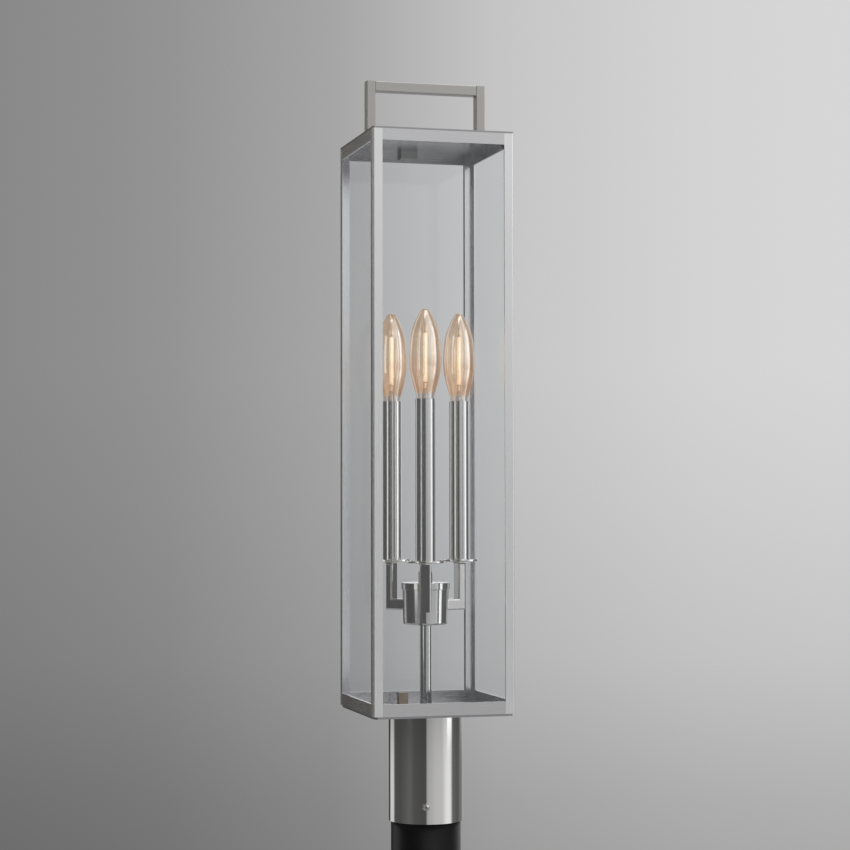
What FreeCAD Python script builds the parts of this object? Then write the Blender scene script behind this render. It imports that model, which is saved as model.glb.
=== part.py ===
import FreeCAD, Part
import math
import os
import Sketcher

# Post-mount lantern: a glazed metal box on a round collar, with three candle lights inside.
# +Z is up and -Y is the front. The origin is the centre of the collar's lower rim, so the
# collar's bore axis is the Z axis. All lengths are in millimetres.

DIMENSIONS = {
    # collar that slips over the pole
    "bore_radius": 38.5,
    "collar_wall": 2.1,
    "collar_length": 117.5,
    "screw_level": 19.0,
    "screw_radius": 2.9,
    "screw_hole_radius": 3.05,
    "screw_head_radius": 4.2,
    "screw_head_height": 3.2,
    "screw_key": 3.0,
    "screw_key_depth": 1.8,
    "screw_play": 0.15,
    # glazed frame
    "frame_width": 156.0,
    "frame_height": 625.0,
    "angle_leg": 10.4,
    "angle_thick": 2.0,
    "edge_radius": 1.6,
    "top_rail": 14.1,
    "bottom_rail": 13.2,
    "roof_thick": 2.0,
    "base_thick": 2.5,
    "base_inset": 1.5,
    "base_corner": 4.0,
    # glass
    "glass_thick": 2.5,
    "glass_gap": 0.3,
    "clip_width": 10.0,
    "clip_thick": 0.8,
    "clip_height": 5.0,
    "clip_spread": 45.0,
    "clip_side": 10.0,
    # handle of square bar
    "handle_width": 134.5,
    "handle_rise": 62.0,
    "handle_bar": 10.0,
    "handle_depth": 12.0,
    "handle_tall": 11.0,
    "handle_round": 0.9,
    "roof_round": 0.8,
    # door at the back
    "door_gap": 0.3,
    "door_width": 153.0,
    "door_margin": 2.0,
    "door_bar": 9.0,
    "door_lip": 1.2,
    "door_rebate": 3.8,
    "pane_play": 0.1,
    "knob_radius": 5.5,
    "knob_length": 12.0,
    "upper_catch_width": 19.0,
    "upper_catch_height": 8.5,
    "lower_catch_width": 10.5,
    "lower_catch_height": 12.0,
    "lower_catch_shift": -6.5,
    "upper_catch_depth": 9.0,
    "lower_catch_depth": 4.6,
    "catch_wall": 1.2,
    "tongue_thick": 1.8,
    "tongue_play": 0.6,
    "upper_tongue": 12.0,
    "lower_tongue": 5.0,
    # stem and hub
    "stem_radius": 6.35,
    "stem_wall": 1.3,
    "pipe_radius": 4.8,
    "pipe_bore": 3.3,
    "pipe_reach": 4.0,
    "pipe_play": 0.1,
    "hub_level": 92.3,
    "hub_low_radius": 24.4,
    "hub_top_radius": 25.4,
    "hub_height": 38.1,
    "hub_wall": 1.2,
    "hub_round": 2.0,
    "lid_radius": 26.5,
    "lid_height": 7.6,
    "lid_wall": 1.5,
    "lid_lip": 2.4,
    "lid_play": 0.3,
    "finial_radius": 7.8,
    "finial_height": 14.0,
    # arms, candles and bulbs
    "cluster_turn": 15.0,
    "cluster_radius": 43.2,
    "arm_depth": 8.6,
    "arm_width": 12.4,
    "arm_round": 1.9,
    "arm_level": 107.5,
    "arm_foot": 12.3,
    "arm_top": 158.7,
    "arm_root": 15.0,
    "wire_bore": 2.5,
    "nut_width": 14.0,
    "nut_height": 1.8,
    "pan_radius": 21.5,
    "pan_thick": 1.2,
    "pan_rim": 2.0,
    "pan_bevel": 0.6,
    "pan_lip": 0.8,
    "sleeve_radius": 11.0,
    "sleeve_wall": 0.7,
    "sleeve_length": 175.8,
    "socket_radius": 9.8,
    "socket_bore": 6.2,
    "socket_height": 38.0,
    "socket_drop": 11.5,
    "socket_mouth": 23.0,
    "socket_shank": 7.0,
    "bulb_cap_radius": 5.95,
    "bulb_cap_length": 20.0,
    "bulb_cap_lift": 1.0,
    "bulb_tip_length": 1.5,
    "bulb_tip_radius": 2.6,
    "bulb_collar_radius": 9.3,
    "bulb_collar_height": 8.0,
    "bulb_flare": 6.0,
    "bulb_radius": 17.45,
    "bulb_height": 100.4,
    "bulb_wall": 0.8,
}

SIDES = ("front", "right", "back", "left")
CORNERS = ("front_left", "front_right", "back_right", "back_left")
CANDLES = (1, 2, 3)

# Heights and depths that several pieces share, as expressions of the sheet.
BASE = "(dims.collar_length + dims.base_thick)"
HALF = "(dims.frame_width / 2)"
FRAME_INSIDE = f"({HALF} - dims.angle_thick)"
ROOF = f"({BASE} + dims.frame_height - dims.roof_thick)"
PAN_LEVEL = f"({BASE} + dims.arm_top + dims.nut_height)"
DOOR_FACE = f"({HALF} + dims.door_gap)"

# Size of a sketch before its constraints give it its own.
ROUGH_SIZE = 10

doc = FreeCAD.newDocument("post_lantern")
pieces = []


# ---------------------------------------------------------------- building helpers

def make_sheet():
    """Writes the driving dimensions into the sheet that every size is bound to."""
    sheet = doc.addObject("Spreadsheet::Sheet", "dims")
    for row, (name, value) in enumerate(DIMENSIONS.items(), start=1):
        sheet.set(f"A{row}", name)
        sheet.set(f"B{row}", str(value))
        sheet.setAlias(f"B{row}", name)
    doc.recompute()
    return sheet


def value(name):
    """A driving dimension, read from the sheet."""
    return float(dims.get(name))


def bind(feature, **expressions):
    for prop, expression in expressions.items():
        feature.setExpression(prop, str(expression))


def place(feature, at, turn=None):
    """Binds a feature's position and, where given, its turn about Z in degrees."""
    for axis, expression in zip("xyz", at):
        feature.setExpression(f"Placement.Base.{axis}", str(expression))
    if turn is not None:
        feature.Placement.Rotation = FreeCAD.Rotation(FreeCAD.Vector(0, 0, 1), 1)
        feature.setExpression("Placement.Rotation.Angle", str(turn))


def box(name, size, at):
    """A box with its lowest corner at a point."""
    feature = doc.addObject("Part::Box", name)
    bind(feature, Length=size[0], Width=size[1], Height=size[2])
    place(feature, at)
    return feature


def span_box(name, x, y, z):
    """A box given by its low and high expression on each axis."""
    size = [f"({high}) - ({low})" for low, high in (x, y, z)]
    return box(name, size, (x[0], y[0], z[0]))


def cylinder(name, radius, height, at, direction=(0, 0, 1)):
    feature = doc.addObject("Part::Cylinder", name)
    bind(feature, Radius=radius, Height=height)
    up = FreeCAD.Vector(0, 0, 1)
    feature.Placement.Rotation = FreeCAD.Rotation(up, FreeCAD.Vector(*direction))
    place(feature, at)
    return feature


def cut(name, base, tool):
    feature = doc.addObject("Part::Cut", name)
    feature.Base = base
    feature.Tool = tool
    return feature


def group(name, kind, shapes):
    feature = doc.addObject(kind, name)
    if kind == "Part::Compound":
        feature.Links = shapes
    else:
        feature.Shapes = shapes
    return feature


def fuse(name, shapes):
    return group(name, "Part::MultiFuse", shapes)


def compound(name, shapes):
    return group(name, "Part::Compound", shapes)


def tube(name, radius, bore, height, at):
    outer = cylinder(f"{name}_outside", radius, height, at)
    inner = cylinder(f"{name}_bore", bore, height, at)
    return cut(name, outer, inner)


def outline(body, plane, points):
    """A closed sketch of straight lines whose corners are bound to expressions."""
    sketch = body.newObject("Sketcher::SketchObject", f"{body.Name}_outline")
    support = next(item for item in body.Origin.OriginFeatures if item.Role == plane)
    sketch.AttachmentSupport = [(support, "")]
    sketch.MapMode = "FlatFace"
    count = len(points)
    spots = []
    for index in range(count):
        angle = 2 * math.pi * index / count
        spots.append(FreeCAD.Vector(3 + math.cos(angle), 3 + math.sin(angle), 0) * ROUGH_SIZE)
    for index in range(count):
        sketch.addGeometry(Part.LineSegment(spots[index], spots[(index + 1) % count]), False)
    for index in range(count):
        sketch.addConstraint(
            Sketcher.Constraint("Coincident", index, 2, (index + 1) % count, 1))
    for index, corner in enumerate(points):
        for kind, expression in zip(("DistanceX", "DistanceY"), corner):
            number = sketch.addConstraint(
                Sketcher.Constraint(kind, -1, 1, index, 1, 1.0))
            sketch.setExpression(f"Constraints[{number}]", str(expression))
    return sketch


def padded(name, points, level, height):
    """A body padded upwards from a level, from an outline in plan."""
    body = doc.addObject("PartDesign::Body", name)
    sketch = outline(body, "XY_Plane", points)
    pad = body.newObject("PartDesign::Pad", f"{name}_pad")
    pad.Profile = sketch
    pad.setExpression("Length", str(height))
    body.setExpression("Placement.Base.z", str(level))
    return body


def turned(name, points, at=(0, 0, 0)):
    """A body turned about its own vertical axis, from (radius, height) corners."""
    body = doc.addObject("PartDesign::Body", name)
    sketch = outline(body, "XZ_Plane", points)
    turn = body.newObject("PartDesign::Revolution", f"{name}_turn")
    turn.Profile = sketch
    turn.ReferenceAxis = (sketch, ["V_Axis"])
    turn.Angle = 360
    place(body, at)
    return body


def rounded(body, radius, wanted):
    """Fillets the edges of the body's solid that the test picks out."""
    doc.recompute()
    feature = body.Tip
    names = []
    for number, edge in enumerate(feature.Shape.Edges, start=1):
        if wanted(edge):
            names.append(f"Edge{number}")
    fillet = body.newObject("PartDesign::Fillet", f"{body.Name}_fillet")
    fillet.Base = (feature, names)
    fillet.setExpression("Radius", radius)
    body.Tip = fillet
    return body


def is_upright(edge, x, y):
    """True for a vertical edge that stands at the point x, y."""
    ends = [vertex.Point for vertex in edge.Vertexes]
    spots = [math.hypot(point.x - x, point.y - y) for point in ends]
    return len(ends) == 2 and max(spots) < 0.01 and abs(ends[0].z - ends[1].z) > 0.01


def solid_feature(name, shape):
    """A piece whose shape is made by Part's own functions."""
    feature = doc.addObject("Part::Feature", name)
    feature.Shape = shape
    return feature


def keep(*features):
    pieces.extend(features)
    return features[0]


def around(index, radius):
    """Expressions for the place of one of three things round the axis, the first of them
    turned from the front towards the left."""
    angle = f"(dims.cluster_turn + {120 * index}) * 1 deg"
    return f"-({radius}) * sin({angle})", f"-({radius}) * cos({angle})"


def direction(index):
    """The same place as a unit vector."""
    angle = math.radians(value("cluster_turn") + 120 * index)
    return FreeCAD.Vector(-math.sin(angle), -math.cos(angle), 0)


# ---------------------------------------------------------------- frame

def build_posts():
    """Corner posts of angle section, the outer corner rounded."""
    leg, thick = "dims.angle_leg", "dims.angle_thick"
    section = [
        (f"-{HALF}", f"-{HALF}"),
        (f"-{HALF} + {leg}", f"-{HALF}"),
        (f"-{HALF} + {leg}", f"-{HALF} + {thick}"),
        (f"-{HALF} + {thick}", f"-{HALF} + {thick}"),
        (f"-{HALF} + {thick}", f"-{HALF} + {leg}"),
        (f"-{HALF}", f"-{HALF} + {leg}"),
    ]
    half = value("frame_width") / 2
    for index, corner in enumerate(CORNERS):
        post = padded(f"corner_post_{corner}", section, BASE,
                      "dims.frame_height - dims.roof_thick")
        rounded(post, "dims.edge_radius", lambda edge: is_upright(edge, -half, -half))
        turn = FreeCAD.Rotation(FreeCAD.Vector(0, 0, 1), 90 * index)
        post.Placement = FreeCAD.Placement(FreeCAD.Vector(0, 0, 0), turn)
        post.setExpression("Placement.Base.z", BASE)
        keep(post)


def rail(name, index, low, high):
    """A flat rail between two posts, made at the front and turned to its side."""
    length = "(dims.frame_width - 2 * dims.angle_leg)"
    feature = padded(name, [
        (f"-{length} / 2", f"-{HALF}"),
        (f"{length} / 2", f"-{HALF}"),
        (f"{length} / 2", f"-{HALF} + dims.angle_thick"),
        (f"-{length} / 2", f"-{HALF} + dims.angle_thick"),
    ], low, f"({high}) - ({low})")
    turn = FreeCAD.Rotation(FreeCAD.Vector(0, 0, 1), 90 * index)
    feature.Placement = FreeCAD.Placement(FreeCAD.Vector(0, 0, 0), turn)
    feature.setExpression("Placement.Base.z", low)
    return feature


def build_rails():
    """Four rails at the top and four at the bottom; the back ones have tongue slots."""
    upper = (f"{BASE} + dims.frame_height - dims.top_rail", ROOF)
    lower = (BASE, f"{BASE} + dims.bottom_rail")
    slots = {"top": upper_slot, "bottom": lower_slot}
    for name, (low, high) in {"top": upper, "bottom": lower}.items():
        for index, side in enumerate(SIDES):
            label = f"{name}_rail_{side}"
            if side != "back":
                keep(rail(label, index, low, high))
                continue
            blank = rail(f"{label}_blank", index, low, high)
            slot = slots[name](f"{label}_slot", FRAME_INSIDE, HALF)
            keep(cut(label, blank, slot))


def build_plates():
    """The roof plate covers the frame; the base plate is its floor, a little smaller."""
    half = value("frame_width") / 2
    roof = padded("roof_plate", square(HALF), ROOF, "dims.roof_thick")
    keep(rounded(roof, "dims.edge_radius",
                 lambda edge: any(is_upright(edge, x, y)
                                  for x in (-half, half) for y in (-half, half))))
    inner = f"({HALF} - dims.base_inset)"
    edge_at = half - value("base_inset")
    plate = padded("base_plate_blank", square(inner), "dims.collar_length", "dims.base_thick")
    rounded(plate, "dims.base_corner",
            lambda edge: any(is_upright(edge, x, y)
                             for x in (-edge_at, edge_at) for y in (-edge_at, edge_at)))
    hole = cylinder("base_plate_hole", "dims.pipe_radius", "dims.base_thick",
                    (0, 0, "dims.collar_length"))
    keep(cut("base_plate", plate, hole))


def square(half):
    return [(f"-{half}", f"-{half}"), (half, f"-{half}"), (half, half), (f"-{half}", half)]


def softened(name, blank, size, wanted):
    """A copy of a blank whose chosen edges are rounded by a dimension of the sheet."""
    doc.recompute()
    feature = doc.addObject("Part::Fillet", name)
    feature.Base = blank
    edges = [number for number, edge in enumerate(blank.Shape.Edges, start=1) if wanted(edge)]
    radius = value(size)
    feature.Edges = [(number, radius, radius) for number in edges]
    return feature


def runs_along(edge, axis):
    """True for a straight edge that runs along one of the three axes."""
    start, end = [vertex.Point for vertex in edge.Vertexes]
    return abs((end - start).normalize()[axis]) > 0.999


def build_handle():
    """A rigid rectangular handle of square bar, standing on the middle of the roof."""
    top = f"{BASE} + dims.frame_height + dims.handle_rise"
    inner = "(dims.handle_width / 2 - dims.handle_bar)"
    depth = ("-dims.handle_depth / 2", "dims.handle_depth / 2")
    feet = f"{BASE} + dims.frame_height"
    outer = "(dims.handle_width / 2)"
    for side, span in (("left", (f"-{outer}", f"-{inner}")), ("right", (inner, outer))):
        blank = span_box(f"handle_leg_{side}_blank", span, depth, (feet, top))
        keep(softened(f"handle_leg_{side}", blank, "handle_round",
                      lambda edge: runs_along(edge, 2)))
    blank = span_box("handle_bar_blank", (f"-{inner}", inner), depth,
                     (f"{top} - dims.handle_tall", top))
    keep(softened("handle_bar", blank, "handle_round", lambda edge: runs_along(edge, 0)))


# ---------------------------------------------------------------- glazing

def build_glass():
    """Three fixed panes inside the frame; the side panes stand between front and back."""
    low = f"{BASE} + dims.glass_gap"
    high = f"{ROOF} - dims.glass_gap"
    outer = f"({HALF} - dims.angle_thick - dims.glass_gap)"
    inner = f"({outer} - dims.glass_thick)"
    keep(span_box("glass_front", (f"-{outer}", outer), (f"-{outer}", f"-{inner}"),
                  (low, high)))
    depth = (f"-{inner} + dims.glass_gap", outer)
    keep(span_box("glass_left", (f"-{outer}", f"-{inner}"), depth, (low, high)))
    keep(span_box("glass_right", (inner, outer), depth, (low, high)))


def build_clips():
    """Bent spring clips on the floor and under the roof that hold the fixed panes."""
    inner = f"({HALF} - dims.angle_thick - dims.glass_gap - dims.glass_thick)"
    foot = f"({inner} - dims.clip_height)"
    face = f"({inner} - dims.clip_thick)"
    ends = {
        "low": ((BASE, f"{BASE} + dims.clip_height"),
                (BASE, f"{BASE} + dims.clip_thick")),
        "high": ((f"{ROOF} - dims.clip_height", ROOF),
                 (f"{ROOF} - dims.clip_thick", ROOF)),
    }
    clips = []
    for name, (leg_span, foot_span) in ends.items():
        for sign, half in ((-1, "left"), (1, "right")):
            middle = f"({sign} * dims.clip_spread)"
            width = (f"{middle} - dims.clip_width / 2", f"{middle} + dims.clip_width / 2")
            front = [
                span_box(f"clip_front_{name}_{half}_leg", width,
                         (f"-{inner}", f"-{face}"), leg_span),
                span_box(f"clip_front_{name}_{half}_foot", width,
                         (f"-{face}", f"-{foot}"), foot_span),
            ]
            clips.append(fuse(f"clip_front_{name}_{half}", front))
            low_x = (f"-{inner}", f"-{face}") if sign < 0 else (face, inner)
            low_foot = (f"-{face}", f"-{foot}") if sign < 0 else (foot, face)
            shifts = {"fore": "-dims.clip_spread"}
            if name == "low":
                shifts["aft"] = "dims.clip_side"
            for spot, shift in shifts.items():
                span = (f"{shift} - dims.clip_width / 2", f"{shift} + dims.clip_width / 2")
                clips.append(fuse(f"clip_{half}_{name}_{spot}", [
                    span_box(f"clip_{half}_{name}_{spot}_leg", low_x, span, leg_span),
                    span_box(f"clip_{half}_{name}_{spot}_foot", low_foot, span, foot_span),
                ]))
    keep(compound("glass_clips", clips))


# ---------------------------------------------------------------- back door

DOOR_LOW = f"({BASE} + dims.door_margin)"
DOOR_HIGH = f"({ROOF} - dims.door_margin)"
DOOR_SHELF = f"({DOOR_FACE} + dims.glass_thick + dims.pane_play)"
DOOR_BACK = f"({DOOR_SHELF} + dims.door_lip)"


def build_door():
    """A pull-off door that lies on the back of the frame: four rebated bars and a pane."""
    half = "(dims.door_width / 2)"
    edge = f"({half} - dims.door_bar)"
    rebate = f"({edge} + dims.door_rebate)"
    lip = (DOOR_SHELF, DOOR_BACK)
    seat = (DOOR_FACE, DOOR_SHELF)
    for side, sign in (("left", -1), ("right", 1)):
        full = (DOOR_LOW, DOOR_HIGH)
        wide = (edge, half) if sign > 0 else (f"-{half}", f"-{edge}")
        narrow = (rebate, half) if sign > 0 else (f"-{half}", f"-{rebate}")
        keep(fuse(f"door_stile_{side}", [
            span_box(f"door_stile_{side}_lip", wide, lip, full),
            span_box(f"door_stile_{side}_seat", narrow, seat, full),
        ]))
    ends = {
        "top": ((f"{DOOR_HIGH} - dims.door_bar", DOOR_HIGH),
                (f"{DOOR_HIGH} - dims.door_bar + dims.door_rebate", DOOR_HIGH)),
        "bottom": ((DOOR_LOW, f"{DOOR_LOW} + dims.door_bar"),
                   (DOOR_LOW, f"{DOOR_LOW} + dims.door_bar - dims.door_rebate")),
    }
    for name, (lip_span, seat_span) in ends.items():
        keep(fuse(f"door_rail_{name}", [
            span_box(f"door_rail_{name}_lip", (f"-{edge}", edge), lip, lip_span),
            span_box(f"door_rail_{name}_seat", (f"-{rebate}", rebate), seat, seat_span),
        ]))
    pane = f"({rebate} - dims.glass_gap)"
    inset = "dims.door_bar - dims.door_rebate + dims.glass_gap"
    keep(span_box("door_glass", (f"-{pane}", pane),
                  (f"{DOOR_FACE} + dims.pane_play / 2", f"{DOOR_SHELF} - dims.pane_play / 2"),
                  (f"{DOOR_LOW} + {inset}", f"{DOOR_HIGH} - ({inset})")))


def build_knob():
    """A small turned pull knob on the door's lower rail."""
    knob = turned("door_knob", [
        (0, 0),
        ("dims.knob_radius * 0.72", 0),
        ("dims.knob_radius * 0.72", "dims.knob_length * 0.08"),
        ("dims.knob_radius * 0.5", "dims.knob_length * 0.15"),
        ("dims.knob_radius * 0.5", "dims.knob_length * 0.4"),
        ("dims.knob_radius", "dims.knob_length * 0.6"),
        ("dims.knob_radius", "dims.knob_length * 0.92"),
        ("dims.knob_radius * 0.82", "dims.knob_length"),
        (0, "dims.knob_length"),
    ])
    facing = FreeCAD.Rotation(FreeCAD.Vector(0, 0, 1), FreeCAD.Vector(0, 1, 0))
    knob.Placement = FreeCAD.Placement(FreeCAD.Vector(0, 0, 0), facing)
    place(knob, (0, DOOR_BACK, f"{DOOR_LOW} + dims.door_bar / 2"))
    keep(knob)


UPPER_TONGUE_LEVEL = f"({ROOF} - dims.upper_catch_height / 2)"
LOWER_TONGUE_LEVEL = f"({BASE} + dims.lower_tongue)"


def upper_slot(name, near, far):
    """The slot for the flat tongue at the top of the door."""
    wide = "(dims.upper_tongue / 2 + dims.tongue_play)"
    tall = "(dims.tongue_thick / 2 + dims.tongue_play)"
    level = UPPER_TONGUE_LEVEL
    return span_box(name, (f"-{wide}", wide), (near, far),
                    (f"{level} - {tall}", f"{level} + {tall}"))


def lower_slot(name, near, far):
    """The slot for the upright tongue at the bottom of the door."""
    middle = "dims.lower_catch_shift"
    wide = "(dims.tongue_thick / 2 + dims.tongue_play)"
    tall = "(dims.lower_tongue / 2 + dims.tongue_play)"
    level = LOWER_TONGUE_LEVEL
    return span_box(name, (f"{middle} - {wide}", f"{middle} + {wide}"), (near, far),
                    (f"{level} - {tall}", f"{level} + {tall}"))


def build_catches():
    """A catch on each back rail, and the tongues on the door that enter them."""
    front = f"({FRAME_INSIDE} - dims.upper_catch_depth)"
    half = "(dims.upper_catch_width / 2)"
    block = span_box("upper_catch_block", (f"-{half}", half), (front, FRAME_INSIDE),
                     (f"{ROOF} - dims.upper_catch_height", ROOF))
    keep(cut("upper_catch", block,
             upper_slot("upper_catch_slot", f"{front} + dims.catch_wall", FRAME_INSIDE)))
    thick = "(dims.tongue_thick / 2)"
    upper = span_box("upper_tongue_blade", ("-dims.upper_tongue / 2", "dims.upper_tongue / 2"),
                     (f"{front} + 2 * dims.catch_wall", DOOR_FACE),
                     (f"{UPPER_TONGUE_LEVEL} - {thick}", f"{UPPER_TONGUE_LEVEL} + {thick}"))

    front = f"({FRAME_INSIDE} - dims.lower_catch_depth)"
    half = "(dims.lower_catch_width / 2)"
    middle = "dims.lower_catch_shift"
    block = span_box("lower_catch_block", (f"{middle} - {half}", f"{middle} + {half}"),
                     (front, FRAME_INSIDE), (BASE, f"{BASE} + dims.lower_catch_height"))
    keep(cut("lower_catch", block,
             lower_slot("lower_catch_slot", f"{front} + dims.catch_wall", FRAME_INSIDE)))
    tall = "dims.lower_tongue / 2"
    lower = span_box("lower_tongue_blade", (f"{middle} - {thick}", f"{middle} + {thick}"),
                     (f"{front} + 2 * dims.catch_wall", DOOR_FACE),
                     (f"{LOWER_TONGUE_LEVEL} - {tall}", f"{LOWER_TONGUE_LEVEL} + {tall}"))
    keep(compound("door_tongues", [upper, lower]))


# ---------------------------------------------------------------- collar

def build_collar():
    """The collar's tube, with three holes for the set screws."""
    blank = tube("collar_tube", "dims.bore_radius + dims.collar_wall", "dims.bore_radius",
                 "dims.collar_length", (0, 0, 0))
    holes = []
    for index in range(3):
        x, y = around(index, "dims.bore_radius / 2")
        holes.append(cylinder(f"collar_hole_{index + 1}", "dims.screw_hole_radius",
                              "dims.bore_radius", (x, y, "dims.screw_level"),
                              direction(index)))
    keep(cut("post_collar", blank, compound("collar_holes", holes)))


def build_set_screws():
    """Button-headed screws with a hex socket, which bear on the pole."""
    head = value("screw_head_radius")
    tall = value("screw_head_height")
    tip = value("bore_radius")
    seat = tip + value("collar_wall") + value("screw_play")
    dome = (head ** 2 + tall ** 2) / (2 * tall)
    across = value("screw_key") / math.sqrt(3)
    shank = Part.makeCylinder(value("screw_radius"), seat - tip)
    ball = Part.makeSphere(dome, FreeCAD.Vector(0, 0, seat - tip + tall - dome))
    cap = Part.makeCylinder(head, tall, FreeCAD.Vector(0, 0, seat - tip)).common(ball)
    floor = seat - tip + tall - value("screw_key_depth")
    corners = [FreeCAD.Vector(across * math.cos(math.radians(60 * step)),
                              across * math.sin(math.radians(60 * step)), floor)
               for step in range(7)]
    key = Part.Face(Part.makePolygon(corners)).extrude(FreeCAD.Vector(0, 0, tall))
    shape = shank.fuse(cap).removeSplitter().cut(key)
    for index in range(3):
        screw = solid_feature(f"set_screw_{index + 1}", shape)
        ahead = direction(index)
        facing = FreeCAD.Rotation(FreeCAD.Vector(0, 0, 1), ahead)
        where = ahead * tip + FreeCAD.Vector(0, 0, value("screw_level"))
        screw.Placement = FreeCAD.Placement(where, facing)
        keep(screw)


# ---------------------------------------------------------------- stem and hub

HUB_LOW = f"({BASE} + dims.hub_level)"
HUB_HIGH = f"({HUB_LOW} + dims.hub_height)"
LID_HIGH = f"({HUB_HIGH} + dims.lid_height)"
PIPE_HOLE = "(dims.pipe_radius + dims.pipe_play)"


def build_stem():
    """A threaded pipe from the base plate to the finial, inside a plain cover tube."""
    keep(tube("stem_tube", "dims.stem_radius", "dims.stem_radius - dims.stem_wall",
              "dims.hub_level", (0, 0, BASE)))
    keep(tube("stem_pipe", "dims.pipe_radius", "dims.pipe_bore",
              f"{LID_HIGH} + dims.pipe_reach - dims.collar_length",
              (0, 0, "dims.collar_length")))


def build_hub():
    """A slightly tapered cup, its flanged lid and the domed finial that clamps them."""
    wall = "dims.hub_wall"
    hole = PIPE_HOLE
    cup = turned("hub_cup_blank", [
        (hole, 0),
        ("dims.hub_low_radius - dims.hub_round", 0),
        ("dims.hub_low_radius - dims.hub_round * 0.3", "dims.hub_round * 0.3"),
        ("dims.hub_low_radius", "dims.hub_round"),
        ("dims.hub_top_radius", "dims.hub_height"),
        (f"dims.hub_top_radius - {wall}", "dims.hub_height"),
        (f"dims.hub_low_radius - {wall}", "dims.hub_round"),
        (f"dims.hub_low_radius - {wall} - dims.hub_round * 0.4", wall),
        (hole, wall),
    ], (0, 0, HUB_LOW))
    holes = []
    for index in range(3):
        holes.append(cylinder(f"hub_wire_hole_{index + 1}", "dims.wire_bore",
                              "dims.cluster_radius",
                              (0, 0, f"{BASE} + dims.arm_level + dims.arm_foot / 2"),
                              direction(index)))
    keep(cut("hub_cup", cup, compound("hub_wire_holes", holes)))
    keep(turned("hub_lid", [
        (hole, "dims.lid_height - dims.lid_wall"),
        ("dims.lid_radius - dims.lid_lip", "dims.lid_height - dims.lid_wall"),
        ("dims.lid_radius - dims.lid_lip", "dims.lid_play"),
        ("dims.lid_radius - dims.lid_play", "dims.lid_play"),
        ("dims.lid_radius", "dims.lid_play * 2"),
        ("dims.lid_radius", "dims.lid_height - dims.lid_play"),
        ("dims.lid_radius - dims.lid_play", "dims.lid_height"),
        (hole, "dims.lid_height"),
    ], (0, 0, HUB_HIGH)))
    keep(turned("hub_finial", [
        (hole, 0),
        ("dims.finial_radius", 0),
        ("dims.finial_radius", "dims.finial_height * 0.78"),
        ("dims.finial_radius * 0.92", "dims.finial_height * 0.90"),
        ("dims.finial_radius * 0.72", "dims.finial_height * 0.97"),
        ("dims.finial_radius * 0.4", "dims.finial_height"),
        (0, "dims.finial_height"),
        (0, "dims.pipe_reach + 0.5"),
        (hole, "dims.pipe_reach + 0.5"),
    ], (0, 0, LID_HIGH)))


# ---------------------------------------------------------------- arms and candles

def build_arms():
    """Three L-shaped bars that leave the hub level and turn up under the candles."""
    low = f"({BASE} + dims.arm_level)"
    middle = f"({low} + dims.arm_foot / 2)"
    inner = "(dims.cluster_radius - dims.arm_depth / 2)"
    outer = "(dims.cluster_radius + dims.arm_depth / 2)"
    side = ("-dims.arm_width / 2", "dims.arm_width / 2")
    for index in CANDLES:
        name = f"arm_{index}"
        foot = span_box(f"{name}_foot", (f"-{outer}", "-dims.arm_root"), side,
                        (low, f"{low} + dims.arm_foot"))
        post = span_box(f"{name}_upright", (f"-{outer}", f"-{inner}"), side,
                        (low, f"{BASE} + dims.arm_top"))
        blank = fuse(f"{name}_blank", [foot, post])
        blank.Refine = True
        bar = softened(f"{name}_bar", blank, "arm_round",
                       lambda edge: runs_along(edge, 0) or runs_along(edge, 2))
        hub = doc.addObject("Part::Cone", f"{name}_hub")
        bind(hub, Radius1="dims.hub_low_radius", Radius2="dims.hub_top_radius",
             Height="dims.hub_height - dims.hub_round")
        place(hub, (0, 0, f"{HUB_LOW} + dims.hub_round"))
        along = cylinder(f"{name}_level_bore", "dims.wire_bore", "dims.cluster_radius",
                         ("-dims.cluster_radius", 0, middle), (1, 0, 0))
        upward = cylinder(f"{name}_upright_bore", "dims.wire_bore",
                          "dims.arm_top - dims.arm_level", ("-dims.cluster_radius", 0, middle))
        bend = doc.addObject("Part::Sphere", f"{name}_bend")
        bind(bend, Radius="dims.wire_bore")
        place(bend, ("-dims.cluster_radius", 0, middle))
        arm = cut(name, bar, fuse(f"{name}_hollow", [hub, along, upward, bend]))
        place(arm, (0, 0, 0), f"90 - dims.cluster_turn - {120 * (index - 1)}")
        keep(arm)


def build_nuts():
    """Equal hexagon nuts, one on each arm under its drip pan."""
    nuts = []
    for index in range(3):
        prism = doc.addObject("Part::Prism", f"lock_nut_{index + 1}_hex")
        prism.Polygon = 6
        bind(prism, Circumradius="dims.nut_width / 2 / cos(30 deg)",
             Height="dims.nut_height")
        x, y = around(index, "dims.cluster_radius")
        spot = (x, y, f"{BASE} + dims.arm_top")
        place(prism, spot, "30 - dims.cluster_turn")
        hole = cylinder(f"lock_nut_{index + 1}_bore", "dims.pipe_radius", "dims.nut_height",
                        spot)
        nuts.append(cut(f"lock_nut_{index + 1}", prism, hole))
    keep(compound("lock_nuts", nuts))


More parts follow.
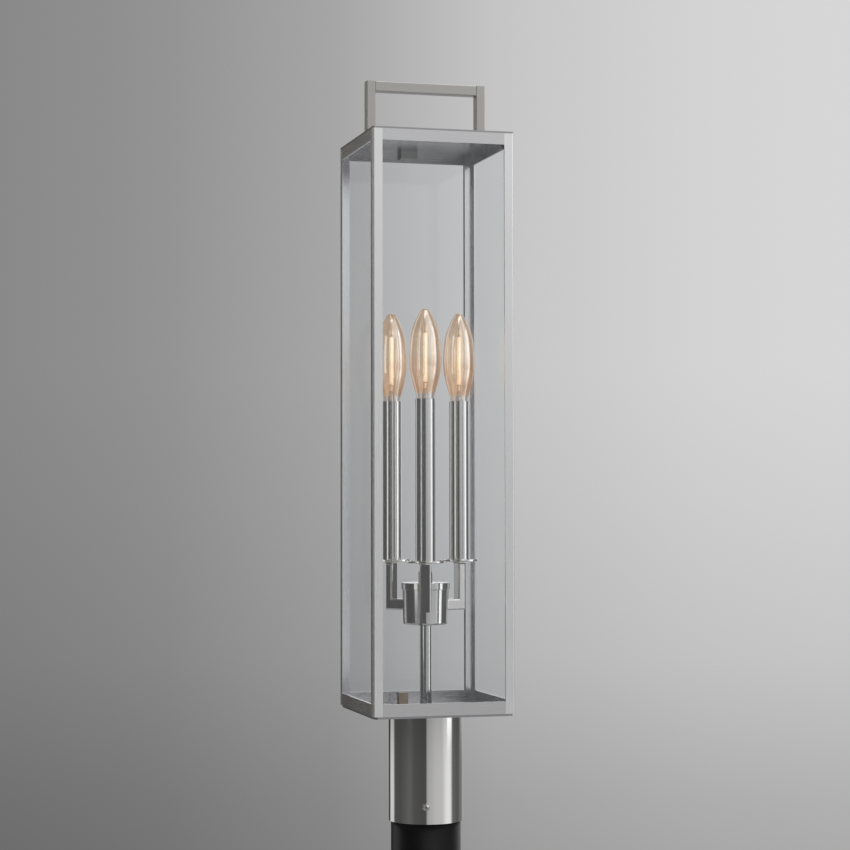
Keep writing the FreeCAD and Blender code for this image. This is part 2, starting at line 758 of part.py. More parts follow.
def build_candles():
    """For each arm a drip pan and a sleeve, and inside them a pipe and a lamp socket."""
    pipes = []
    socket_top = f"({PAN_LEVEL} + dims.pan_thick + dims.sleeve_length - dims.socket_drop)"
    socket_low = f"({socket_top} - dims.socket_height)"
    for index in CANDLES:
        x, y = around(index - 1, "dims.cluster_radius")
        keep(turned(f"drip_pan_{index}", [
            (PIPE_HOLE, 0),
            ("dims.pan_radius - dims.pan_bevel * 2", 0),
            ("dims.pan_radius", "dims.pan_bevel"),
            ("dims.pan_radius", "dims.pan_rim"),
            ("dims.pan_radius - dims.pan_lip", "dims.pan_rim"),
            ("dims.pan_radius - dims.pan_lip * 2", "dims.pan_thick"),
            (PIPE_HOLE, "dims.pan_thick"),
        ], (x, y, PAN_LEVEL)))
        keep(tube(f"candle_sleeve_{index}", "dims.sleeve_radius",
                  "dims.sleeve_radius - dims.sleeve_wall", "dims.sleeve_length",
                  (x, y, f"{PAN_LEVEL} + dims.pan_thick")))
        foot = f"({BASE} + dims.arm_top)"
        pipes.append(tube(f"socket_pipe_{index}", "dims.pipe_radius", "dims.pipe_bore",
                          f"{socket_low} + dims.socket_shank - {foot}", (x, y, foot)))
        body = cylinder(f"socket_{index}_body", "dims.socket_radius", "dims.socket_height",
                        (x, y, socket_low))
        mouth = cylinder(f"socket_{index}_mouth", "dims.socket_bore", "dims.socket_mouth",
                         (x, y, f"{socket_top} - dims.socket_mouth"))
        shank = cylinder(f"socket_{index}_shank", "dims.pipe_radius", "dims.socket_shank",
                         (x, y, socket_low))
        through = cylinder(f"socket_{index}_through", "dims.wire_bore",
                           "dims.socket_height", (x, y, socket_low))
        keep(cut(f"socket_{index}", body,
                 fuse(f"socket_{index}_hollow", [mouth, shank, through])))
    keep(compound("socket_pipes", pipes))


# ---------------------------------------------------------------- bulbs

# The bulb's outline, from its tip down to the collar, as parts of its height and radius.
BULB_OUTLINE = ((1.0, 0.0), (0.957, 0.344), (0.86, 0.63), (0.747, 0.85), (0.6, 0.963),
                (0.42, 1.0), (0.256, 0.87), (0.11, 0.64))


def bulb_spots(inset):
    """The outline's points, moved inwards by the inset, and the foot at the collar."""
    radius = value("bulb_radius") - inset
    tall = value("bulb_height") - inset
    spots = [FreeCAD.Vector(radius * wide, 0, tall * level) for level, wide in BULB_OUTLINE]
    spots.append(FreeCAD.Vector(value("bulb_collar_radius") - inset, 0, 0))
    return spots


def bulb_curve(inset):
    """A smooth curve through the points, level where it crosses the axis at the tip."""
    curve = Part.BSplineCurve()
    spots = bulb_spots(inset)
    level = FreeCAD.Vector(1, 0, 0)
    curve.interpolate(Points=spots, Tangents=[level] * len(spots),
                      TangentFlags=[True] + [False] * (len(spots) - 1))
    return curve.toShape(), spots


def bulb_shape():
    """The thin glass envelope, open at its neck."""
    outside, outer = bulb_curve(0)
    inside, inner = bulb_curve(value("bulb_wall"))
    neck = Part.LineSegment(outer[-1], inner[-1]).toShape()
    crown = Part.LineSegment(inner[0], outer[0]).toShape()
    wall = Part.Face(Part.Wire(Part.__sortEdges__([outside, neck, inside, crown])))
    return wall.revolve(FreeCAD.Vector(0, 0, 0), FreeCAD.Vector(0, 0, 1), 360)


def build_bulbs():
    """Candle bulbs with a small screw cap that widens into the collar of the glass."""
    sleeve_top = f"({PAN_LEVEL} + dims.pan_thick + dims.sleeve_length)"
    foot = (f"({sleeve_top} - dims.socket_drop + dims.bulb_cap_lift"
            " - dims.bulb_tip_length - dims.bulb_cap_length)")
    thread = "dims.bulb_tip_length"
    shoulder = f"({thread} + dims.bulb_cap_length)"
    rim = f"({shoulder} + dims.bulb_collar_height)"
    envelope = bulb_shape()
    for index in CANDLES:
        x, y = around(index - 1, "dims.cluster_radius")
        keep(turned(f"bulb_cap_{index}", [
            (0, 0),
            ("dims.bulb_tip_radius", 0),
            ("dims.bulb_tip_radius", thread),
            ("dims.bulb_cap_radius - 1", f"{thread} + 0.5"),
            ("dims.bulb_cap_radius", f"{thread} + 2"),
            ("dims.bulb_cap_radius", shoulder),
            ("dims.bulb_collar_radius", f"{shoulder} + dims.bulb_flare"),
            ("dims.bulb_collar_radius", rim),
            (0, rim),
        ], (x, y, foot)))
        glass = solid_feature(f"bulb_glass_{index}", envelope)
        place(glass, (x, y, f"{foot} + {rim}"))
        keep(glass)


# ---------------------------------------------------------------- checks and export

def check_features():
    """Stops if any object failed to build or any piece is not a sound solid."""
    for feature in doc.Objects:
        bad = [state for state in feature.State if state in ("Invalid", "Error")]
        if bad:
            raise RuntimeError(f"{feature.Label} is {bad}")
    labels = [piece.Label for piece in pieces]
    if len(set(labels)) != len(labels):
        raise RuntimeError("two pieces share a label")
    for piece in pieces:
        shape = piece.Shape
        if shape.isNull() or not shape.isValid() or shape.Volume <= 0:
            raise RuntimeError(f"{piece.Label} is not a valid solid")


def write_pieces():
    os.makedirs("parts", exist_ok=True)
    for piece in pieces:
        piece.Shape.exportStep(f"parts/{piece.Label}.step")


dims = make_sheet()
build_posts()
build_rails()
build_plates()
build_handle()
build_glass()
build_clips()
build_door()
build_knob()
build_catches()
build_collar()
build_set_screws()
build_stem()
build_hub()
build_arms()
build_nuts()
build_candles()
build_bulbs()
doc.recompute()
check_features()
write_pieces()
print(len(pieces), "pieces")
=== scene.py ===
"""Post lantern: a glazed square lantern on a round collar, with three lit candle bulbs.

Metres, in the CAD frame: +Z is up, -Y is the front, and the origin is the centre of the
collar's lower rim.
"""
import math

import bmesh
import bpy
from mathutils import Matrix, Vector


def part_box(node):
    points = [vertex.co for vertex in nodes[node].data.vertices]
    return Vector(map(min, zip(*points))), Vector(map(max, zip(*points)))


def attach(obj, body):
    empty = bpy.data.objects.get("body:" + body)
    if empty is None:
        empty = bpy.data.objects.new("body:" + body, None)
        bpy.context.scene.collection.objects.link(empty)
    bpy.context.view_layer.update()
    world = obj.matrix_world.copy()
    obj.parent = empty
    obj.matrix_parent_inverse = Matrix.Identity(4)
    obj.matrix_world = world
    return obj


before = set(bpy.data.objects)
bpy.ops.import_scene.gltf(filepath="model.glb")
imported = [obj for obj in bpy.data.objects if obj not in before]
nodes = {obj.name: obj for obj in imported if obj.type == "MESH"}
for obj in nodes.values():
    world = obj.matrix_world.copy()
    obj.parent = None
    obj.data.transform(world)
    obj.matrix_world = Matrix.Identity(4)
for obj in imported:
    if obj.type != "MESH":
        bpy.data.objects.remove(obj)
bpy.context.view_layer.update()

MM = 0.001
CANDLES = (1, 2, 3)
GLASS_LAYERS = 32    # walls that a ray may cross: three bulbs, their pillars and the panes
GLASS_GLOW = 0.035   # what a lit bulb's glass adds of its own light


# ------------------------------------------------------------------ node-tree helpers

def new_tree(name):
    """An empty material with its output node."""
    material = bpy.data.materials.new(name)
    material.use_nodes = True
    tree = material.node_tree
    tree.nodes.clear()
    output = tree.nodes.new("ShaderNodeOutputMaterial")
    return material, tree, output


def add(tree, kind, inputs=None, **settings):
    """Adds a node; inputs maps a socket's name or number to a value or another socket."""
    made = tree.nodes.new("ShaderNode" + kind)
    for key, setting in settings.items():
        setattr(made, key, setting)
    for key, given in (inputs or {}).items():
        if isinstance(given, bpy.types.NodeSocket):
            tree.links.new(given, made.inputs[key])
        else:
            made.inputs[key].default_value = given
    return made


def maths(tree, operation, first, second=0.0):
    return add(tree, "Math", {0: first, 1: second}, operation=operation).outputs[0]


def spread(tree, source, low, high, from_low=0.0, from_high=1.0):
    """Maps a number from one range to another, without going past its ends."""
    made = add(tree, "MapRange", {"Value": source, "From Min": from_low,
                                  "From Max": from_high, "To Min": low, "To Max": high})
    return made.outputs["Result"]


def ramp(tree, source, stops, interpolation="LINEAR"):
    """A colour ramp; each stop is (position, grey) or (position, (r, g, b))."""
    made = add(tree, "ValToRGB", {"Fac": source})
    made.color_ramp.interpolation = interpolation
    elements = made.color_ramp.elements
    while len(elements) > 1:
        elements.remove(elements[-1])
    for index, (position, colour) in enumerate(stops):
        element = elements[0] if index == 0 else elements.new(position)
        element.position = position
        rgb = colour if isinstance(colour, tuple) else (colour,) * 3
        element.color = (*rgb, 1.0)
    return made.outputs["Color"]


def tinted(tree, factor, first, second):
    """Mixes two colours."""
    made = tree.nodes.new("ShaderNodeMix")
    made.data_type = "RGBA"
    for socket, given in ((made.inputs[0], factor), (made.inputs[6], first),
                          (made.inputs[7], second)):
        if isinstance(given, bpy.types.NodeSocket):
            tree.links.new(given, socket)
        elif isinstance(given, tuple):
            socket.default_value = (*given, 1.0)
        else:
            socket.default_value = given
    return made.outputs[2]


def swing(tree, source, low, high):
    """Maps the middle of a noise's values, where nearly all of them lie, to a range."""
    return spread(tree, source, low, high, 0.3, 0.7)


def noise(tree, scale, detail=3.0, roughness=0.55, stretch=(1, 1, 1)):
    """Noise over the object's own metres, drawn out along an axis where stretch is small."""
    coords = add(tree, "TexCoord").outputs["Object"]
    placed = add(tree, "Mapping", {"Vector": coords, "Scale": stretch}).outputs[0]
    return add(tree, "TexNoise", {"Vector": placed, "Scale": scale, "Detail": detail,
                                  "Roughness": roughness}).outputs["Fac"]


# ------------------------------------------------------------------ metals

STRETCH = {"x": (0.012, 1, 1), "y": (1, 0.012, 1), "z": (1, 1, 0.012)}


def metal(name, tone, grain, rough, line_scale=2600, line_rough=0.03, line_bump=0.006,
          variation=0.03):
    """Metal with fine lines along one axis, and faint broad shifts of tone and gloss."""
    material, tree, output = new_tree(name)
    lines = noise(tree, line_scale, 2.0, 0.6, STRETCH[grain])
    clouds = noise(tree, 9, 2.0, 0.4)
    dark = tuple(part * (1 - variation) for part in tone)
    light = tuple(min(1.0, part * (1 + variation)) for part in tone)
    colour = tinted(tree, swing(tree, lines, 0.0, 1.0), dark, light)
    colour = tinted(tree, spread(tree, clouds, 0.0, 0.4, 0.35, 0.7), colour,
                    tuple(part * 0.94 for part in tone))
    wear = maths(tree, "ADD", swing(tree, lines, -line_rough, line_rough),
                 spread(tree, clouds, 0.0, 0.02, 0.35, 0.7))
    roughness = maths(tree, "ADD", wear, rough)
    bump = add(tree, "Bump", {"Height": lines, "Strength": line_bump,
                              "Distance": 0.05 * MM})
    shader = add(tree, "BsdfPrincipled", {
        "Base Color": colour, "Metallic": 1.0, "Roughness": roughness,
        "Normal": bump.outputs[0]})
    tree.links.new(shader.outputs[0], output.inputs["Surface"])
    return material


def plain_metal(name, tone, rough):
    """Small unpolished metal pieces with a mottled surface."""
    material, tree, output = new_tree(name)
    grain = noise(tree, 900, 3.0, 0.6)
    patches = noise(tree, 160, 2.0, 0.5)
    colour = tinted(tree, patches, tuple(part * 0.82 for part in tone), tone)
    bump = add(tree, "Bump", {"Height": grain, "Strength": 0.12, "Distance": 0.1 * MM})
    shader = add(tree, "BsdfPrincipled", {
        "Base Color": colour, "Metallic": 1.0,
        "Roughness": swing(tree, grain, rough - 0.06, rough + 0.08),
        "Normal": bump.outputs[0]})
    tree.links.new(shader.outputs[0], output.inputs["Surface"])
    return material


def socket_material():
    """Dark moulded plastic with a fine pebble grain."""
    material, tree, output = new_tree("socket_plastic")
    grain = noise(tree, 2600, 2.0, 0.5)
    bump = add(tree, "Bump", {"Height": grain, "Strength": 0.2, "Distance": 0.05 * MM})
    colour = tinted(tree, grain, (0.035, 0.034, 0.032), (0.06, 0.058, 0.055))
    shader = add(tree, "BsdfPrincipled", {
        "Base Color": colour, "Roughness": swing(tree, grain, 0.45, 0.6),
        "Normal": bump.outputs[0]})
    tree.links.new(shader.outputs[0], output.inputs["Surface"])
    return material


# ------------------------------------------------------------------ glass

def clear_shell(tree, tint, mirror, rough):
    """A thin clear wall: what is behind shows through unbent, tinted, under reflections."""
    through = add(tree, "BsdfTransparent", {"Color": tint})
    shine = add(tree, "BsdfGlossy", {"Color": (1, 1, 1, 1), "Roughness": rough})
    mix = add(tree, "MixShader", {0: mirror, 1: through.outputs[0], 2: shine.outputs[0]})
    return mix.outputs[0]


def reflectance(tree, straight, grazing, added):
    """How much a clear wall mirrors seen straight on and along it, alike from both of its
    sides, plus a little haze."""
    facing = add(tree, "LayerWeight", {"Blend": 0.5}).outputs["Facing"]
    rising = maths(tree, "POWER", facing, 4.0)
    return maths(tree, "ADD", spread(tree, rising, straight, grazing), added)


def pane_material():
    """Float glass: clear, faintly blue, with barely visible wipe marks and dust."""
    material, tree, output = new_tree("pane_glass")
    wipes = noise(tree, 14, 4.0, 0.6, (1, 1, 0.35))
    dust = noise(tree, 700, 1.0, 0.5)
    haze = maths(tree, "ADD", spread(tree, wipes, 0.0, 0.008, 0.5, 0.8),
                 spread(tree, dust, 0.0, 0.015, 0.72, 0.8))
    mirror = reflectance(tree, 0.02, 0.11, haze)
    tint = tinted(tree, spread(tree, wipes, 0.0, 1.0, 0.35, 0.75),
                  (0.995, 0.997, 1.0), (0.985, 0.988, 0.992))
    rough = spread(tree, wipes, 0.0, 0.03, 0.45, 0.8)
    shell = clear_shell(tree, tint, mirror, rough)
    tree.links.new(shell, output.inputs["Surface"])
    return material


def bulb_material(foot, top):
    """Amber lamp glass with upright streaks, deeper where it is seen along its wall and
    towards its foot, clear round its neck, and with a faint light of its own. Foot and top
    are the heights of the glass."""
    material, tree, output = new_tree("bulb_amber_glass")
    coords = add(tree, "TexCoord").outputs["Object"]
    height = add(tree, "SeparateXYZ", {0: coords}).outputs["Z"]
    part = spread(tree, height, 0.0, 1.0, foot, top)
    clearing = ramp(tree, part, [(0.0, 0.0), (0.07, 0.0), (0.115, 1.0), (1.0, 1.0)])
    smoke = ramp(tree, part, [(0.0, 1.0), (0.14, 1.0), (0.30, 0.45), (0.55, 0.10),
                              (1.0, 0.35)])
    grazing = add(tree, "LayerWeight", {"Blend": 0.30}).outputs["Facing"]
    streaks = noise(tree, 150, 2.0, 0.5, (1, 1, 0.05))
    depth = maths(tree, "ADD", grazing, spread(tree, streaks, -0.30, 0.30, 0.35, 0.65))
    peach = ramp(tree, depth, [(0.0, (1.0, 0.965, 0.92)), (0.40, (0.97, 0.90, 0.825)),
                               (0.75, (0.90, 0.78, 0.68)), (0.93, (0.74, 0.58, 0.47)),
                               (1.0, (0.54, 0.42, 0.34))])
    brown = ramp(tree, depth, [(0.0, (0.98, 0.88, 0.77)), (0.5, (0.93, 0.78, 0.63)),
                               (0.93, (0.76, 0.56, 0.41)), (1.0, (0.58, 0.43, 0.32))])
    clear = ramp(tree, depth, [(0.0, (0.99, 0.985, 0.98)), (0.6, (0.95, 0.945, 0.94)),
                               (1.0, (0.82, 0.81, 0.80))])
    tint = tinted(tree, clearing, clear, tinted(tree, smoke, peach, brown))
    mirror = reflectance(tree, 0.24, 0.30, swing(tree, streaks, 0.0, 0.03))
    shell = clear_shell(tree, tint, mirror, 0.03)
    glow = add(tree, "Emission", {
        "Color": tinted(tree, streaks, (1.0, 0.68, 0.44), (1.0, 0.80, 0.60)),
        "Strength": maths(tree, "MULTIPLY", clearing, GLASS_GLOW)})
    lit = add(tree, "AddShader", {0: shell, 1: glow.outputs[0]})
    tree.links.new(lit.outputs[0], output.inputs["Surface"])
    return material


def stem_glass_material():
    """Clear blown glass with faint ripples."""
    material, tree, output = new_tree("stem_clear_glass")
    ripple = noise(tree, 300, 2.0, 0.5)
    grazing = add(tree, "LayerWeight", {"Blend": 0.4}).outputs["Facing"]
    tint = ramp(tree, maths(tree, "ADD", grazing, spread(tree, ripple, -0.08, 0.08)),
                [(0.0, (0.95, 0.95, 0.94)), (1.0, (0.62, 0.60, 0.57))])
    mirror = reflectance(tree, 0.04, 0.6, swing(tree, ripple, 0.02, 0.10))
    shell = clear_shell(tree, tint, mirror, 0.04)
    tree.links.new(shell, output.inputs["Surface"])
    return material


def filament_material():
    """Glowing phosphor coating, slightly uneven along its length."""
    material, tree, output = new_tree("filament_glow")
    grain = noise(tree, 500, 2.0, 0.5, (1, 1, 0.6))
    colour = tinted(tree, grain, (1.0, 0.95, 0.78), (1.0, 0.98, 0.88))
    strength = swing(tree, grain, 0.68, 0.90)
    shader = add(tree, "BsdfPrincipled", {
        "Base Color": tinted(tree, grain, (0.90, 0.74, 0.42), (0.95, 0.84, 0.58)),
        "Roughness": 0.6, "Emission Color": colour, "Emission Strength": strength})
    tree.links.new(shader.outputs[0], output.inputs["Surface"])
    return material


# Painted light and shade: the frame is one brushed steel. The posts, stiles and the back and
# door bottom rails get a brighter lit tone, and the other rails a darker shaded tone.
brushed_lit_tone = {axis: metal(f"brushed_metal_{axis}", (0.80, 0.80, 0.81), axis, 0.24)
           for axis in "xz"}
rail_steel_shaded_tone = {axis: metal(f"rail_steel_shaded_tone_{axis}", (0.61, 0.61, 0.62), axis, 0.24)
              for axis in "xy"}
# Painted shade: the roof and base plates are the same steel in a still darker shaded tone.
plate_steel_shaded_tone = metal("plate_steel_shaded_tone", (0.36, 0.36, 0.37), "x", 0.24)
handle_metal = {axis: metal(f"handle_metal_{axis}", (0.46, 0.45, 0.43), axis, 0.34)
                for axis in "xz"}
polished = metal("polished_metal", (0.74, 0.735, 0.725), "z", 0.09,
                 line_scale=3000, line_rough=0.02, line_bump=0.008, variation=0.02)
pan_metal = metal("pan_metal", (0.93, 0.92, 0.90), "x", 0.12,
                  line_scale=3000, line_rough=0.02, line_bump=0.008, variation=0.02)
screw_metal = plain_metal("screw_steel", (0.66, 0.65, 0.64), 0.22)
nut_metal = plain_metal("nut_steel", (0.60, 0.59, 0.58), 0.30)
clip_metal = plain_metal("clip_steel", (0.52, 0.52, 0.52), 0.38)
catch_brass = plain_metal("catch_brass", (0.50, 0.40, 0.32), 0.42)
catch_steel = plain_metal("catch_steel", (0.45, 0.45, 0.45), 0.40)
cap_brass = plain_metal("cap_brass", (0.80, 0.62, 0.34), 0.25)
wire_metal = plain_metal("wire_gold", (0.80, 0.60, 0.30), 0.45)
socket_plastic = socket_material()
pane_glass = pane_material()
glass_low, glass_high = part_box("bulb_glass_1")
bulb_amber = bulb_material(glass_low.z, glass_high.z)
stem_glass = stem_glass_material()
filament_glow = filament_material()


# ------------------------------------------------------------------ CAD nodes

def finish_for(name):
    """The material of a CAD node, by its name."""
    if name.startswith(("glass_front", "glass_left", "glass_right", "door_glass")):
        return pane_glass
    if name.startswith("bulb_glass"):
        return bulb_amber
    if name.startswith("bulb_cap"):
        return cap_brass
    if name.startswith(("corner_post", "door_stile")):
        return brushed_lit_tone["z"]
    if name.startswith("handle"):
        return handle_metal["x" if name == "handle_bar" else "z"]
    # Painted light and shade: the back and door bottom rails take the brighter lit tone, and
    # the other rails the darker shaded tone of the same steel.
    if name in ("bottom_rail_back", "door_rail_bottom"):
        return brushed_lit_tone["x"]
    if name.startswith(("top_rail", "bottom_rail", "door_rail")):
        return rail_steel_shaded_tone["y" if name.endswith(("left", "right")) else "x"]
    # Painted shade: the plates take the darkest shaded tone of the frame steel.
    if name in ("roof_plate", "base_plate"):
        return plate_steel_shaded_tone
    if name.startswith("set_screw"):
        return screw_metal
    if name in ("lock_nuts", "stem_pipe", "socket_pipes"):
        return nut_metal
    if name in ("glass_clips", "door_tongues"):
        return clip_metal
    if name == "upper_catch":
        return catch_steel
    if name == "lower_catch":
        return catch_brass
    if name.startswith("socket_"):
        return socket_plastic
    if name.startswith("drip_pan"):
        return pan_metal
    return polished


for name, item in nodes.items():
    item.data.materials.clear()
    item.data.materials.append(finish_for(name))


# ------------------------------------------------------------------ bulb insides

def new_piece(name, mesh, material, body):
    """A new visible piece that rides on a body."""
    for face in mesh.faces:
        face.smooth = True
    data = bpy.data.meshes.new(name)
    mesh.to_mesh(data)
    mesh.free()
    data.materials.append(material)
    item = bpy.data.objects.new(name, data)
    bpy.context.scene.collection.objects.link(item)
    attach(item, body)


def skin(mesh, profile, place, steps):
    """Joins rings of points, one for each (radius, height), into a closed form of revolution.
    Place turns a point about the form's own axis into its spot."""
    rings = []
    for radius, height in profile:
        ring = []
        for step in range(steps):
            angle = 2 * math.pi * step / steps
            point = Vector((radius * math.cos(angle), radius * math.sin(angle), height))
            ring.append(mesh.verts.new(place(point)))
        rings.append(ring)
    for lower, upper in zip(rings, rings[1:]):
        for step in range(steps):
            after = (step + 1) % steps
            mesh.faces.new((lower[step], lower[after], upper[after], upper[step]))
    mesh.faces.new(list(reversed(rings[0])))
    mesh.faces.new(rings[-1])


def lathe(mesh, centre, profile, steps=32):
    """Turns (radius, height) points about a vertical line; height is above the centre."""
    skin(mesh, profile, lambda point: centre + point, steps)


def rod(mesh, start, end, radius, steps=12):
    """A round rod with domed ends between two points."""
    axis = end - start
    turn = axis.to_track_quat("Z", "Y").to_matrix()
    dome = radius * 0.5
    profile = ((dome, 0.0), (radius, dome), (radius, axis.length - dome), (dome, axis.length))
    skin(mesh, profile, lambda point: start + turn @ point, steps)


def up(height):
    return Vector((0, 0, height))


# Heights are above the foot of a bulb's glass.
FILAMENT_LOW = 21 * MM
FILAMENT_HIGH = 74 * MM
FILAMENT_RADIUS = 0.8 * MM
FILAMENT_RING = 1.6 * MM
CROWN_RISE = 1.5 * MM
CROWN_RADIUS = 2.4 * MM
CROWN_HOOK = 7 * MM
PLATE_DROP = 1.2 * MM
PLATE_RADIUS = 2.3 * MM
HOOK_RADIUS = 0.45 * MM
LINK_RADIUS = 0.3 * MM
LEAD_RADIUS = 0.4 * MM
LEAD_LOW = 10 * MM
WIRE_OVERLAP = 0.5 * MM


def bulb_axis(index):
    """The foot of a bulb's glass, on the bulb's own axis."""
    low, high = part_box(f"bulb_glass_{index}")
    return Vector(((low.x + high.x) / 2, (low.y + high.y) / 2, low.z))


def filament_offsets():
    """Where the four strips stand round the bulb's axis."""
    for step in range(4):
        angle = math.radians(45 + 90 * step)
        yield Vector((FILAMENT_RING * math.cos(angle), FILAMENT_RING * math.sin(angle), 0))


def build_filaments(index):
    """Four glowing strips side by side round the bulb's axis."""
    foot = bulb_axis(index)
    mesh = bmesh.new()
    for offset in filament_offsets():
        rod(mesh, foot + offset + up(FILAMENT_LOW), foot + offset + up(FILAMENT_HIGH),
            FILAMENT_RADIUS)
    new_piece(f"filaments_{index}", mesh, filament_glow, f"bulb_{index}")


def build_supports(index):
    """The wires that carry the strips: a crown with a hook on top, a plate and two leads
    below."""
    foot = bulb_axis(index)
    mesh = bmesh.new()
    crown = foot + up(FILAMENT_HIGH + CROWN_RISE)
    lathe(mesh, crown, ((CROWN_RADIUS / 3, 0.0), (CROWN_RADIUS, 0.3 * MM),
                        (CROWN_RADIUS, 0.6 * MM), (CROWN_RADIUS / 3, 0.9 * MM)), 20)
    rod(mesh, crown, crown + up(CROWN_HOOK), HOOK_RADIUS)
    for offset in filament_offsets():
        rod(mesh, foot + offset + up(FILAMENT_HIGH - WIRE_OVERLAP),
            crown + offset * 0.9 + up(0.4 * MM), LINK_RADIUS, 8)
    for side in (-1, 1):
        offset = Vector((side * FILAMENT_RING, 0, 0))
        rod(mesh, foot + offset * 1.1 + up(LEAD_LOW),
            foot + offset + up(FILAMENT_LOW + WIRE_OVERLAP), LEAD_RADIUS, 8)
    plate = foot + up(FILAMENT_LOW - PLATE_DROP)
    lathe(mesh, plate, ((1.0 * MM, 0.0), (PLATE_RADIUS, 0.2 * MM), (PLATE_RADIUS, 0.7 * MM),
                        (1.0 * MM, 1.0 * MM)), 20)
    new_piece(f"filament_wires_{index}", mesh, wire_metal, f"bulb_{index}")


def build_pillar(index):
    """The clear glass pillar that rises from the neck and is pinched at its top."""
    mesh = bmesh.new()
    profile = ((7.6, 0.6), (6.6, 1.4), (4.6, 3.4), (3.3, 6.0), (2.8, 9.0), (2.9, 11.5),
               (2.6, 13.2), (1.2, 14.2))
    lathe(mesh, bulb_axis(index), [(wide * MM, tall * MM) for wide, tall in profile])
    new_piece(f"glass_pillar_{index}", mesh, stem_glass, f"bulb_{index}")


for index in CANDLES:
    build_filaments(index)
    build_supports(index)
    build_pillar(index)


# ------------------------------------------------------------------ stage

FLOOR_LEVEL = -1.5
FLOOR_RADIUS = 6.0
POST_RADIUS = 38.1 * MM
POST_TOP = 100 * MM


def staged(name, mesh, material):
    """A thing in the scene that is not part of the object."""
    data = bpy.data.meshes.new(name)
    mesh.to_mesh(data)
    mesh.free()
    data.materials.append(material)
    item = bpy.data.objects.new(name, data)
    bpy.context.scene.collection.objects.link(item)
    return item


def floor_material():
    """Pale matt floor that fades into the backdrop at its rim."""
    material, tree, output = new_tree("pale_floor")
    coords = add(tree, "TexCoord").outputs["Object"]
    reach = add(tree, "VectorMath", {0: coords}, operation="LENGTH").outputs["Value"]
    shade = noise(tree, 1.5, 2.0)
    colour = tinted(tree, shade, (0.56, 0.56, 0.55), (0.62, 0.62, 0.61))
    matt = add(tree, "BsdfDiffuse", {"Color": colour, "Roughness": 0.5})
    clear = add(tree, "BsdfTransparent")
    rim = spread(tree, reach, 0.0, 1.0, FLOOR_RADIUS * 0.45, FLOOR_RADIUS * 0.98)
    mix = add(tree, "MixShader", {0: rim, 1: matt.outputs[0], 2: clear.outputs[0]})
    tree.links.new(mix.outputs[0], output.inputs["Surface"])
    return material


def post_material():
    """Black powder coat."""
    material, tree, output = new_tree("post_black")
    grain = noise(tree, 1800, 2.0)
    bump = add(tree, "Bump", {"Height": grain, "Strength": 0.15, "Distance": 0.1 * MM})
    shader = add(tree, "BsdfPrincipled", {
        "Base Color": tinted(tree, grain, (0.004, 0.004, 0.004), (0.008, 0.008, 0.008)),
        "Roughness": swing(tree, grain, 0.34, 0.44), "Specular IOR Level": 0.22,
        "Normal": bump.outputs[0]})
    tree.links.new(shader.outputs[0], output.inputs["Surface"])
    return material


def build_stage():
    """A pale floor well below, and the black post that the lantern stands on."""
    mesh = bmesh.new()
    bmesh.ops.create_circle(mesh, cap_ends=True, radius=FLOOR_RADIUS, segments=96)
    floor = staged("floor", mesh, floor_material())
    floor.location.z = FLOOR_LEVEL
    mesh = bmesh.new()
    lathe(mesh, up(FLOOR_LEVEL), ((POST_RADIUS, 0.0), (POST_RADIUS, POST_TOP - FLOOR_LEVEL)),
          96)
    for face in mesh.faces:
        face.smooth = len(face.verts) == 4
    staged("lamp_post", mesh, post_material())


build_stage()


# ------------------------------------------------------------------ surroundings and lights

# Brightness by bearing, in degrees from the front and positive towards +X. SURROUND is what
# the metal mirrors, SURROUND_LOW what it mirrors below LOW_EDGE, and BACKDROP what stands
# behind the object. DUSK is a dim warm tone.
DUSK = (0.055, 0.048, 0.038)
SURROUND = (
    (-180, DUSK), (-160, DUSK), (-153, 0.82), (-137, 0.82), (-128, 0.13), (-60, 0.11),
    (-14, 0.10), (-11, 0.54), (20, 0.74), (36, 0.76), (42, 1.05), (50, 1.0), (70, 0.86),
    (77, 0.20), (110, 0.16), (127, 0.90), (168, 0.95), (176, 0.25), (180, DUSK),
)
SURROUND_LOW = (
    (-180, DUSK), (-162, DUSK), (-155, 0.75), (-134, 0.75), (-128, 0.10), (-100, 0.09),
    (-66, 0.15), (-50, 0.10), (-14, 0.08), (-11, 0.47), (15, 0.63), (38, 0.66), (46, 0.85),
    (52, 1.0), (67, 1.0), (75, 0.17), (100, 0.11), (135, 0.28), (150, 0.50), (170, 0.45),
    (176, 0.22), (180, DUSK),
)
BACKDROP = (
    (-180, 0.26), (-150, 0.45), (120, 0.52), (140, 0.62), (154, 0.68), (158, 0.65),
    (163, 0.56), (167, 0.385), (172, 0.285), (176, 0.25), (180, 0.255),
)

# Brightness by level: 0 is straight down, 0.5 the horizon and 1 straight up. LOW_EDGE is
# where the lower surroundings give way to the upper ones.
RISE = ((0.0, 0.40), (0.40, 0.47), (0.453, 0.54), (0.475, 0.61), (0.52, 0.85),
        (0.57, 1.18), (0.80, 1.18), (1.0, 0.90))
FALL = ((0.0, 0.5), (0.42, 0.59), (0.435, 0.65), (0.466, 0.83), (0.50, 0.93), (0.53, 1.0),
        (1.0, 1.0))
LOW_EDGE = (0.443, 0.453)


def bearings(tree, turn, stops):
    """A ramp from (bearing, brightness) stops; turn is 0 and 1 at the back, 0.5 in front."""
    return ramp(tree, turn, [(degrees / 360 + 0.5, tone) for degrees, tone in stops])


def product(tree, first, second):
    """Multiplies two colours."""
    made = tinted(tree, 1.0, first, second)
    made.node.blend_type = "MULTIPLY"
    return made


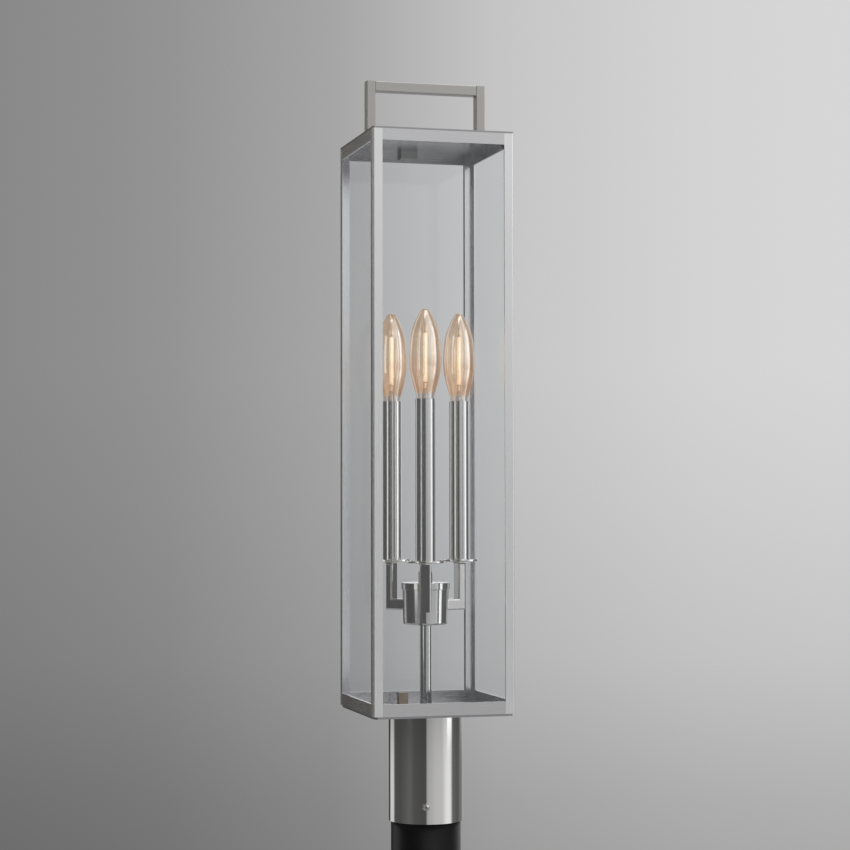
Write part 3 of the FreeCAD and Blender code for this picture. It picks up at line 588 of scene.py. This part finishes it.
def build_world():
    """Soft studio surroundings: what the metal mirrors, and a pale backdrop behind."""
    world = bpy.data.worlds.new("studio")
    bpy.context.scene.world = world
    world.use_nodes = True
    tree = world.node_tree
    tree.nodes.clear()
    output = tree.nodes.new("ShaderNodeOutputWorld")
    way = add(tree, "TexCoord").outputs["Generated"]
    parts = add(tree, "SeparateXYZ", {0: way})
    forward = maths(tree, "MULTIPLY", parts.outputs["Y"], -1.0)
    bearing = maths(tree, "ARCTAN2", parts.outputs["X"], forward)
    turn = maths(tree, "ADD", maths(tree, "DIVIDE", bearing, 2 * math.pi), 0.5)
    level = maths(tree, "MULTIPLY_ADD", parts.outputs["Z"], 0.5)
    level.node.inputs[2].default_value = 0.5
    above = product(tree, bearings(tree, turn, SURROUND), ramp(tree, level, RISE))
    below = bearings(tree, turn, SURROUND_LOW)
    mirrored = tinted(tree, spread(tree, level, 0.0, 1.0, *LOW_EDGE), below, above)
    lit = add(tree, "Background", {"Color": mirrored, "Strength": 1.0})
    plain = product(tree, ramp(tree, level, FALL), bearings(tree, turn, BACKDROP))
    backdrop = add(tree, "Background", {"Color": plain, "Strength": 1.0})
    seen = add(tree, "LightPath").outputs["Is Camera Ray"]
    mix = add(tree, "MixShader", {0: seen, 1: lit.outputs[0], 2: backdrop.outputs[0]})
    tree.links.new(mix.outputs[0], output.inputs["Surface"])


LIGHT_AIM = up(0.42)


def soft_box(name, bearing, distance, level, width, height, power, tint=(1, 1, 1)):
    """A large soft light that faces the middle of the lantern, unseen by the camera. Level
    is the height of its middle."""
    light = bpy.data.lights.new(name, "AREA")
    light.shape = "RECTANGLE"
    light.size = width
    light.size_y = height
    light.energy = power
    light.color = tint
    item = bpy.data.objects.new(name, light)
    bpy.context.scene.collection.objects.link(item)
    angle = math.radians(bearing)
    spot = Vector((math.sin(angle) * distance, -math.cos(angle) * distance, level))
    item.location = spot
    item.rotation_euler = (LIGHT_AIM - spot).to_track_quat("-Z", "Y").to_euler()
    item.visible_camera = False


build_world()
soft_box("soft_right", 63, 2.4, 0.9, 0.85, 2.2, 4.4, (0.97, 0.98, 1.0))
soft_box("soft_left", -63, 2.2, 0.8, 0.66, 1.6, 2.6, (1.0, 0.97, 0.90))
soft_box("soft_top", 10, 0.6, 3.6, 2.6, 2.2, 26)


# ------------------------------------------------------------------ camera

CAMERA_PLACE = (-0.6290, -2.3363, 0.3466)
CAMERA_TURN = -15.06
CAMERA_TILT = 1.99
CAMERA_ROLL = 0.08


def build_camera():
    """The camera stands to the left of the front, a little below the lantern's middle, and
    looks slightly up."""
    data = bpy.data.cameras.new("camera")
    data.sensor_width = 36.0
    data.lens = 93.35
    data.clip_start = 0.05
    data.clip_end = 100
    item = bpy.data.objects.new("camera", data)
    bpy.context.scene.collection.objects.link(item)
    turn = (Matrix.Rotation(math.radians(CAMERA_TURN), 4, "Z")
            @ Matrix.Rotation(math.radians(CAMERA_TILT), 4, "X")
            @ Matrix.Rotation(math.radians(CAMERA_ROLL), 4, "Y")
            @ Matrix.Rotation(math.radians(90), 4, "X"))
    item.matrix_world = Matrix.Translation(CAMERA_PLACE) @ turn
    bpy.context.scene.camera = item


build_camera()
bpy.context.scene.view_settings.view_transform = "Standard"
bpy.context.scene.cycles.transparent_max_bounces = GLASS_LAYERS
